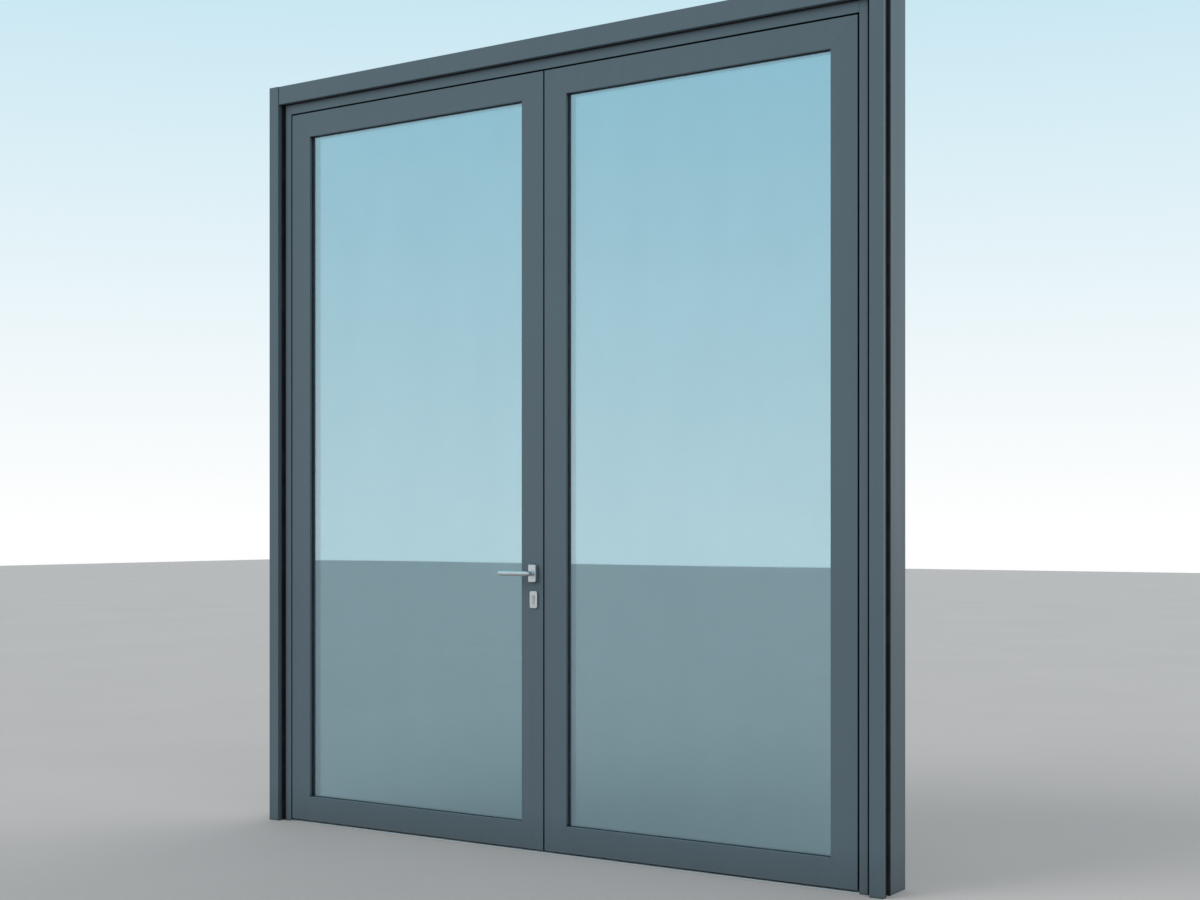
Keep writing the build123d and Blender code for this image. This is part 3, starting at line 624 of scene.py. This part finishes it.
class DOOR_OT_finishes(bpy.types.Operator):
    """Mix the finishes, one for each material slot and one with an upright grain"""

    bl_idname = "door.finishes"
    bl_label = "Finishes"

    def execute(self, context):
        colours = context.scene.door_colours
        coat, steel = tuple(colours.coat), tuple(colours.steel)
        grey, zinc, nickel = (0.60, 0.60, 0.60), (0.55, 0.56, 0.57), (0.60, 0.58, 0.53)
        plastic, fibre = (0.014, 0.014, 0.016), (0.010, 0.010, 0.011)
        FINISHES.update(
            painted_frame=powder_coat("Powder coat", coat),
            hinge_metal=powder_coat("Powder coat on hinges", coat),
            bare_aluminium=brushed_metal(
                "Anodised aluminium", grey, grain=(3.0, 900.0, 900.0), gloss=(0.30, 0.46)
            ),
            satin_steel=brushed_metal(
                "Satin steel", steel, grain=(40.0, 1500.0, 1500.0), gloss=(0.24, 0.36)
            ),
            upright_steel=brushed_metal(
                "Satin steel upright", steel, grain=(1500.0, 1500.0, 30.0), gloss=(0.26, 0.38)
            ),
            plated_steel=brushed_metal(
                "Zinc plated steel", zinc, grain=(300.0, 300.0, 80.0), gloss=(0.28, 0.46)
            ),
            nickel_brass=brushed_metal(
                "Matt nickel", nickel, grain=(900.0, 900.0, 900.0), gloss=(0.28, 0.40)
            ),
            coated_glass=mirror_glass("Coated glass", tuple(colours.coated_glass)),
            clear_glass=plain_glass("Clear glass", tuple(colours.clear_glass)),
            spacer_bar=spacer_metal("Spacer bar", (0.07, 0.075, 0.08)),
            black_rubber=soft_black(
                "Gasket rubber", tuple(colours.rubber), 700.0, gloss=(0.55, 0.8), depth=0.05 * MM
            ),
            black_plastic=soft_black(
                "Black plastic", plastic, 420.0, gloss=(0.4, 0.6), depth=0.03 * MM
            ),
            black_brush=soft_black(
                "Brush fibres", fibre, 1600.0, gloss=(0.7, 0.95), depth=0.3 * MM
            ),
        )
        return {"FINISHED"}


# The pieces
class DOOR_OT_profiles(bpy.types.Operator):
    """Round the edges of the coated profiles, so that light catches them and the mitres show"""

    bl_idname = "door.profiles"
    bl_label = "Coated profiles"

    def execute(self, context):
        edge = context.scene.door_sizes.profile_edge
        for node, slot in SLOT_OF.items():
            if slot == "painted_frame" and node != "header_beam":
                rounded_copy(node, edge, ending="coated")
        return {"FINISHED"}


def make_lever(node, direction, bend, tip_radius):
    """A round bar: out of the rose, round a bend and along to a square cut, softened tip."""
    low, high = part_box(node)
    radius = (high.z - low.z) / 2
    neck_x = high.x - radius
    lever_z = (high.z + low.z) / 2
    start_y = high.y if direction < 0 else low.y
    bar_y = low.y + radius if direction < 0 else high.y - radius
    turn_x, turn_y = neck_x - bend, bar_y - direction * bend
    bpy.ops.object.select_all(action="DESELECT")
    bpy.ops.mesh.primitive_circle_add(
        vertices=LEVER_SIDES,
        radius=radius,
        location=(neck_x, start_y, lever_z),
        rotation=AXIS_ALONG_Y,
    )
    piece = settled(f"{node}_bar")
    edit(piece, "SELECT")
    bpy.ops.mesh.extrude_edges_move(TRANSFORM_OT_translate={"value": (0, turn_y - start_y, 0)})
    bpy.ops.mesh.spin(
        steps=BEND_STEPS,
        angle=-direction * math.pi / 2,
        center=(turn_x, turn_y, lever_z),
        axis=(0, 0, 1),
    )
    bpy.ops.mesh.extrude_edges_move(TRANSFORM_OT_translate={"value": (low.x - turn_x, 0, 0)})
    pick_edges(piece, on_planes(X, low.x))
    bpy.ops.mesh.edge_face_add()
    pick_edges(piece, on_planes(X, low.x))
    bpy.ops.mesh.bevel(offset=tip_radius, segments=TIP_STEPS)
    pick_edges(piece, on_planes(Y, start_y))
    bpy.ops.mesh.edge_face_add()
    bpy.ops.mesh.select_all(action="SELECT")
    bpy.ops.mesh.remove_doubles(threshold=MERGE_DISTANCE / 10)
    bpy.ops.mesh.normals_make_consistent(inside=False)
    bpy.ops.object.mode_set(mode="OBJECT")
    smooth(piece, angle=30.0)
    stand_for(piece, FINISHES["satin_steel"], node)


class DOOR_OT_levers(bpy.types.Operator):
    """Make the lever outside and the lever inside"""

    bl_idname = "door.levers"
    bl_label = "Levers"

    def execute(self, context):
        sizes = context.scene.door_sizes
        for node, direction in (("lever_outside", -1), ("lever_inside", 1)):
            make_lever(node, direction, sizes.lever_bend, sizes.lever_tip)
        return {"FINISHED"}


class DOOR_OT_handle_plates(bpy.types.Operator):
    """Round the front edges of the handle plates and of the lock cylinder"""

    bl_idname = "door.handle_plates"
    bl_label = "Handle plates"

    def execute(self, context):
        edge = context.scene.door_sizes.plate_edge
        steel = FINISHES["upright_steel"]
        for node, radius, segments, material in (
            ("handle_roses", edge, 3, steel),
            ("cylinder_escutcheons", edge * ESCUTCHEON_EDGE, 3, steel),
            ("cylinder_body", CYLINDER_EDGE, 2, None),
            ("cylinder_plug", PLUG_EDGE, 2, None),
        ):
            low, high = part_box(node)
            fronts = on_planes(Y, low.y, high.y)
            rounded_copy(node, radius, material, segments=segments, wanted=fronts)
        return {"FINISHED"}


def make_screw(name, radius):
    """A low screw head with a softened rim and a hexagonal socket, looking up at the origin."""
    height = radius * HEAD_HEIGHT
    head = add_rod(name, radius, height, SCREW_SIDES)
    edit(head)
    pick_edges(head, on_planes(Z, height / 2))
    bpy.ops.mesh.bevel(offset=height * HEAD_RIM, segments=2)
    bpy.ops.object.mode_set(mode="OBJECT")
    cut(head, add_rod("socket", radius * HEAD_SOCKET, height, SOCKET_SIDES, middle_z=height / 2))
    smooth(head, angle=30.0)
    return head


def set_screws(name, node, radius, turn, places):
    """Copies of one screw at each place, joined into a piece that moves with a node."""
    pattern = make_screw(name, radius)
    screws = []
    for index, place in enumerate(places):
        screws.append(copied(pattern, f"{name}_{index}", Matrix.Translation(place) @ turn))
    bpy.data.objects.remove(pattern)
    piece = join(screws, name)
    dress(piece, FINISHES["plated_steel"])
    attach(piece, BODY_OF[node])


def hinge_levels(node):
    """The middle heights of the separate hinges in a node."""
    heights = sorted({round(vertex.co.z, 4) for vertex in frame["nodes"][node].data.vertices})
    groups = []
    for height in heights:
        if groups and height - groups[-1][-1] < HINGE_SPACING:
            groups[-1].append(height)
        else:
            groups.append([height])
    return [(group[0] + group[-1]) / 2 for group in groups]


def hinge_screw_places(columns, stile, levels):
    """Where the screws sit in each column of each hinge, on the plates that lie on a stile."""
    face_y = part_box(stile)[1].y + HINGE_PLATE_THICKNESS
    return [
        Vector((column, face_y, level + row))
        for level in levels
        for column in columns
        for row in HINGE_SCREW_ROWS
    ]


class DOOR_OT_hinges(bpy.types.Operator):
    """Round the edges of the hinges and set their screws"""

    bl_idname = "door.hinges"
    bl_label = "Hinges"

    def execute(self, context):
        sizes = context.scene.door_sizes
        leaf_parts = ("left_hinge_leaf_parts", "right_hinge_leaf_parts")
        for node in ("hinge_frame_parts", *leaf_parts, "hinge_pins"):
            rounded_copy(node, sizes.hardware_edge, segments=3, sharpness=50.0)
        radius = sizes.screw_head / 2
        levels = hinge_levels("left_hinge_leaf_parts")
        for side, word in ((-1, "left"), (1, "right")):
            node = f"{word}_hinge_leaf_parts"
            low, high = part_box(node)
            plate_end = low.x if side > 0 else high.x
            columns = [plate_end + side * column for column in LEAF_SCREW_COLUMNS]
            places = hinge_screw_places(columns, f"{word}_hinge_stile", levels)
            set_screws(f"{word}_hinge_screws", node, radius, FACING_Y, places)
        low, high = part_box("hinge_frame_parts")
        columns = [low.x + FRAME_SCREW_COLUMN, high.x - FRAME_SCREW_COLUMN]
        places = hinge_screw_places(columns, "right_hinge_stile", levels)
        set_screws("frame_hinge_screws", "hinge_frame_parts", radius, FACING_Y, places)
        return {"FINISHED"}


class DOOR_OT_edge_plates(bpy.types.Operator):
    """Round the steel plates on the meeting edges and set their screws"""

    bl_idname = "door.edge_plates"
    bl_label = "Plates on the meeting edges"

    def execute(self, context):
        sizes = context.scene.door_sizes
        radius = sizes.screw_head * EDGE_SCREW_RADIUS
        plates = (
            ("lock_faceplate", FACING_X),
            ("strike_plate", FACING_MINUS_X),
            ("flush_bolt_plates", FACING_MINUS_X),
        )
        for node, turn in plates:
            rounded_copy(node, sizes.thin_plate_edge, FINISHES["upright_steel"])
        for node, turn in plates:
            low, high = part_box(node)
            face_x = high.x if turn is FACING_X else low.x
            spans = [(low.z, high.z)]
            if node == "flush_bolt_plates":
                length = FLUSH_PLATE_LENGTH
                spans = [(low.z, low.z + length), (high.z - length, high.z)]
            places = [
                Vector((face_x, (low.y + high.y) / 2, height))
                for bottom, top in spans
                for height in (bottom + EDGE_SCREW_INSET, top - EDGE_SCREW_INSET)
            ]
            set_screws(f"{node}_screws", node, radius, turn, places)
        return {"FINISHED"}


class DOOR_OT_bolts(bpy.types.Operator):
    """Soften the bolts, the spindle and the lock case"""

    bl_idname = "door.bolts"
    bl_label = "Bolts"

    def execute(self, context):
        edge = context.scene.door_sizes.bolt_edge
        for node in (
            "dead_bolt",
            "latch_bolt",
            "flush_bolt_top",
            "flush_bolt_bottom",
            "spindle",
            "lock_case",
        ):
            rounded_copy(node, edge)
        return {"FINISHED"}


class DOOR_OT_gaskets(bpy.types.Operator):
    """Round the lips of the rubber strips"""

    bl_idname = "door.gaskets"
    bl_label = "Gaskets"

    def execute(self, context):
        edge = context.scene.door_sizes.rubber_edge
        for word in ("left", "right"):
            rounded_copy(f"{word}_glazing_gaskets", edge, segments=3)
            rounded_copy(f"{word}_meeting_gasket", edge, segments=3)
        rounded_copy("stop_gaskets", edge * STOP_LIP, segments=4)
        rounded_copy("pocket_gaskets", edge)
        return {"FINISHED"}


def brush_runs(node):
    """The lengths along X that a brush strip covers, with the gap for the flush bolt left open."""
    low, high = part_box(node)
    if node.startswith("left"):
        return [(low.x, high.x)]
    rod_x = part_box("flush_bolt_bottom")[1].x - BOLT_CARRIAGE_HALF
    return [(low.x, rod_x - ROD_GAP_HALF), (rod_x + ROD_GAP_HALF, high.x)]


def make_tufts(start, y, low, high, pitch, count):
    """A row of tapered tufts along X, broad where they leave the holder."""
    bpy.ops.object.select_all(action="DESELECT")
    bpy.ops.mesh.primitive_cone_add(
        vertices=TUFT_SIDES,
        radius1=TUFT_FOOT,
        radius2=TUFT_TIP,
        depth=high - low,
        location=(start + pitch / 2, y, (low + high) / 2),
        rotation=(math.pi, 0, 0),
    )
    tufts = settled("tufts")
    row = tufts.modifiers.new("row", "ARRAY")
    row.count = count
    row.use_relative_offset = False
    row.use_constant_offset = True
    row.constant_offset_displace = (pitch, 0, 0)
    bpy.ops.object.modifier_apply(modifier=row.name)
    return tufts


class DOOR_OT_brushes(bpy.types.Operator):
    """Set rows of tufts into the holders under the leaves"""

    bl_idname = "door.brushes"
    bl_label = "Brush strips"

    def execute(self, context):
        sizes = context.scene.door_sizes
        pitch = sizes.bristle_pitch
        for node in ("left_bottom_brush", "right_bottom_brush"):
            low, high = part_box(node)
            middle_y = (low.y + high.y) / 2
            holder_z = high.z - sizes.brush_holder
            pieces = []
            for start, end in brush_runs(node):
                holder = add_block("holder", (start, low.y, holder_z), (end, high.y, high.z))
                soften(holder, HOLDER_EDGE)
                pieces.append(holder)
                count = int((end - start) / pitch)
                for aside in TUFT_ROWS:
                    row_y = middle_y + aside
                    pieces.append(make_tufts(start, row_y, low.z, holder_z, pitch, count))
            stand_for(join(pieces, f"{node}_tufts"), FINISHES["black_brush"], node)
        return {"FINISHED"}


class DOOR_OT_threshold(bpy.types.Operator):
    """Soften the ribs of the threshold and the clamping strips"""

    bl_idname = "door.threshold"
    bl_label = "Threshold"

    def execute(self, context):
        sizes = context.scene.door_sizes
        rounded_copy("threshold", sizes.rib_edge, sharpness=30.0)
        rounded_copy("pressure_plates", sizes.bolt_edge)
        return {"FINISHED"}


class DOOR_OT_carried(bpy.types.Operator):
    """Give the pieces that keep their shape their finish"""

    bl_idname = "door.carried"
    bl_label = "Plain pieces"

    def execute(self, context):
        for node, slot in SLOT_OF.items():
            if not frame["nodes"][node].hide_render:
                carry_over(FINISHES[slot], node)
        return {"FINISHED"}


# The stage
def make_floor(colour):
    """A broad plain floor."""
    bpy.ops.object.select_all(action="DESELECT")
    bpy.ops.mesh.primitive_plane_add(size=FLOOR_WIDTH, location=(0, 0, 0))
    floor = settled("floor")
    material, tree, shader, where = blank("Plain floor", Roughness=0.75, Specular_IOR_Level=0.2)
    clouds = noise(tree, where, scale=0.8, detail=4.0)
    tint = mottled(tree, clouds, (0.3, 0.7), colour, 0.98, 1.02)
    tree.links.new(tint, shader.inputs["Base Color"])
    dress(floor, material)


def make_world(scene):
    """Even soft light, with a pale backdrop for what is seen, mirrored or seen through glass."""
    world = bpy.data.worlds.new("Studio")
    scene.world = world
    world.use_nodes = True
    tree = world.node_tree
    tree.nodes.clear()
    light = tree.nodes.new("ShaderNodeBackground")
    light.inputs["Color"].default_value = LIGHT_COLOUR
    light.inputs["Strength"].default_value = LIGHT_STRENGTH
    seen = tree.nodes.new("ShaderNodeBackground")
    direction = tree.nodes.new("ShaderNodeTexCoord").outputs["Generated"]
    rise = spread(tree, split(tree, direction)["Z"], (0.0, BACKDROP_RISE))
    sky = blend_colours(tree, rise, BACKDROP_LOW, BACKDROP_HIGH)
    tree.links.new(sky, seen.inputs["Color"])
    path = tree.nodes.new("ShaderNodeLightPath").outputs
    shown = calculate(tree, "MAXIMUM", path["Is Camera Ray"], path["Is Glossy Ray"])
    shown = calculate(tree, "MAXIMUM", shown, path["Is Transmission Ray"])
    mix = tree.nodes.new("ShaderNodeMixShader")
    out = tree.nodes.new("ShaderNodeOutputWorld")
    tree.links.new(shown, mix.inputs["Fac"])
    tree.links.new(light.outputs["Background"], mix.inputs[1])
    tree.links.new(seen.outputs["Background"], mix.inputs[2])
    tree.links.new(mix.outputs["Shader"], out.inputs["Surface"])


def make_lamps(scene):
    """Far and soft lights: a key from the front left, a fill from the right and one behind."""
    for name, direction, strength, width in LAMPS:
        data = bpy.data.lights.new(name, "SUN")
        data.energy = strength
        data.angle = math.radians(width)
        lamp = bpy.data.objects.new(name, data)
        lamp.rotation_euler = Vector(direction).to_track_quat("Z", "Y").to_euler()
        lamp.visible_glossy = False
        lamp.visible_transmission = False
        scene.collection.objects.link(lamp)


def make_camera(scene):
    """The viewpoint: level, at chest height, to the right of the middle."""
    data = bpy.data.cameras.new("viewpoint")
    data.sensor_width = CAMERA_SENSOR
    data.lens = CAMERA_LENS
    data.shift_y = CAMERA_SHIFT
    data.clip_end = CAMERA_REACH
    camera = bpy.data.objects.new("viewpoint", data)
    camera.location = CAMERA_PLACE
    camera.rotation_euler = (math.pi / 2, 0, math.radians(CAMERA_TURN))
    scene.collection.objects.link(camera)
    scene.camera = camera


class DOOR_OT_stage(bpy.types.Operator):
    """Set the floor, the soft light and the camera"""

    bl_idname = "door.stage"
    bl_label = "Floor, light and camera"

    def execute(self, context):
        scene = context.scene
        make_floor(tuple(scene.door_colours.floor))
        make_world(scene)
        make_lamps(scene)
        make_camera(scene)
        scene.view_settings.view_transform = "Standard"
        return {"FINISHED"}


OPERATORS = (
    DOOR_OT_finishes,
    DOOR_OT_stage,
    DOOR_OT_profiles,
    DOOR_OT_levers,
    DOOR_OT_handle_plates,
    DOOR_OT_hinges,
    DOOR_OT_edge_plates,
    DOOR_OT_bolts,
    DOOR_OT_gaskets,
    DOOR_OT_brushes,
    DOOR_OT_threshold,
    DOOR_OT_carried,
)


class DOOR_PT_panel(bpy.types.Panel):
    """The door's settings, and its pieces in the order in which they are made"""

    bl_label = "Glass entrance door"
    bl_idname = "DOOR_PT_panel"
    bl_space_type = "VIEW_3D"
    bl_region_type = "UI"
    bl_category = "Door"

    def draw(self, context):
        for name in DoorColours.__annotations__:
            self.layout.prop(context.scene.door_colours, name)
        for name in DoorSizes.__annotations__:
            self.layout.prop(context.scene.door_sizes, name)
        for operator in OPERATORS:
            self.layout.operator(operator.bl_idname)


def register():
    """Add the settings, the operators and the panel."""
    for cls in (DoorColours, DoorSizes, *OPERATORS, DOOR_PT_panel):
        bpy.utils.register_class(cls)
    bpy.types.Scene.door_colours = bpy.props.PointerProperty(type=DoorColours)
    bpy.types.Scene.door_sizes = bpy.props.PointerProperty(type=DoorSizes)


def unregister():
    """Take them away again."""
    del bpy.types.Scene.door_sizes
    del bpy.types.Scene.door_colours
    for cls in (DOOR_PT_panel, *reversed(OPERATORS), DoorSizes, DoorColours):
        bpy.utils.unregister_class(cls)


def main():
    """Make every piece."""
    register()
    bpy.ops.door.finishes()
    bpy.ops.door.stage()
    bpy.ops.door.profiles()
    bpy.ops.door.levers()
    bpy.ops.door.handle_plates()
    bpy.ops.door.hinges()
    bpy.ops.door.edge_plates()
    bpy.ops.door.bolts()
    bpy.ops.door.gaskets()
    bpy.ops.door.brushes()
    bpy.ops.door.threshold()
    bpy.ops.door.carried()


if __name__ == "__main__":
    main()
